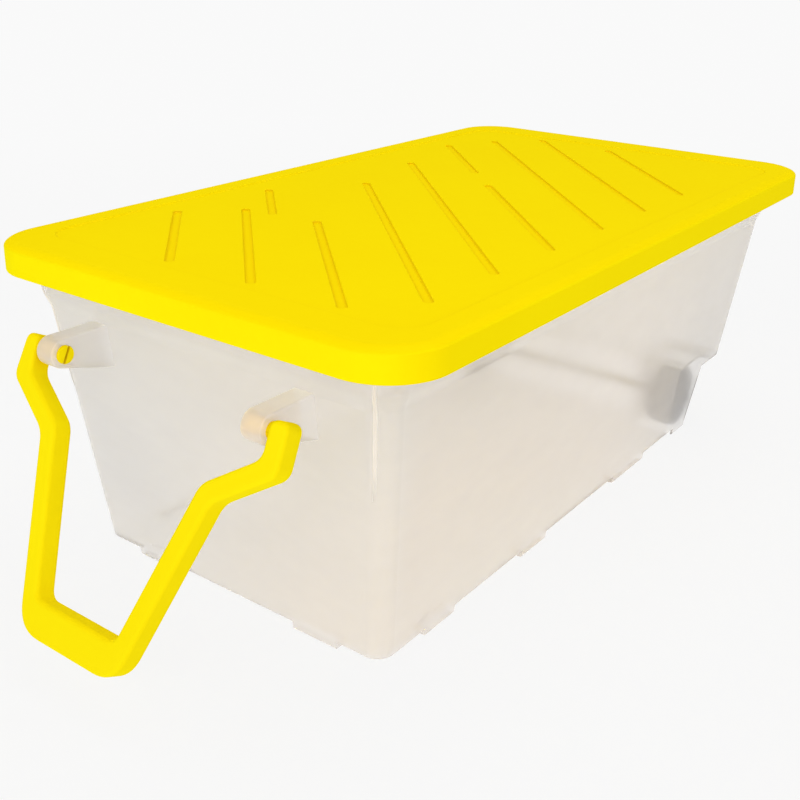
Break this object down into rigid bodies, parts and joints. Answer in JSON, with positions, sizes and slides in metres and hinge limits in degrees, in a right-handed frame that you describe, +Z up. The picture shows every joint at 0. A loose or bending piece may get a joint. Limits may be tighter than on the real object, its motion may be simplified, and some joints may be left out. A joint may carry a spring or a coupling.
{
  "type": "under bed box",
  "caption": "Wheeled under-bed storage box: tapered frosted tub, lift-off ribbed lid, cranked pull handle on the front, wheels on a steel rod at the rear.",
  "frame": {"origin": "centre of the flat underside of the tub floor, 6 mm above the ground the feet and wheels stand on", "axes": "+X across the width to the right seen from the handle end, +Y from the handle end to the wheel end, +Z up through the lid"},
  "size_m": [0.4, 0.8098, 0.267],
  "materials": {
    "frosted_plastic": "natural translucent polypropylene, finely frosted outside, slightly glossier inside",
    "lid_plastic": "bright yellow moulded polypropylene, satin top with soft gloss on the rounded edge",
    "handle_plastic": "bright yellow moulded polypropylene, satin",
    "rod_steel": "bright drawn steel rod",
    "wheel_plastic": "dark grey moulded plastic, satin, tread slightly scuffed",
    "cap_plastic": "dark grey moulded plastic, satin"
  },
  "bodies": {
    "box": {"tub": "frosted_plastic", "axle_rod": "rod_steel", "axle_cap_left": "cap_plastic", "axle_cap_right": "cap_plastic"},
    "lid": {"lid": "lid_plastic"},
    "handle": {"handle": "handle_plastic"},
    "wheel_left": {"wheel_left": "wheel_plastic"},
    "wheel_right": {"wheel_right": "wheel_plastic"}
  },
  "joints": [
    {"name": "lid_lift", "type": "slide", "parent": "box", "child": "lid", "axis": [0, 0, 1], "range_m": [0, 0.2]},
    {"name": "handle_swing", "type": "hinge", "parent": "box", "child": "handle", "pos_m": [0, -0.364, 0.197], "axis": [-1, 0, 0], "range_deg": [-40, 152]},
    {"name": "wheel_left_spin", "type": "hinge", "parent": "box", "child": "wheel_left", "pos_m": [-0.126, 0.233, 0.027], "axis": [1, 0, 0], "continuous": true},
    {"name": "wheel_right_spin", "type": "hinge", "parent": "box", "child": "wheel_right", "pos_m": [0.126, 0.233, 0.027], "axis": [1, 0, 0], "continuous": true}
  ]
}
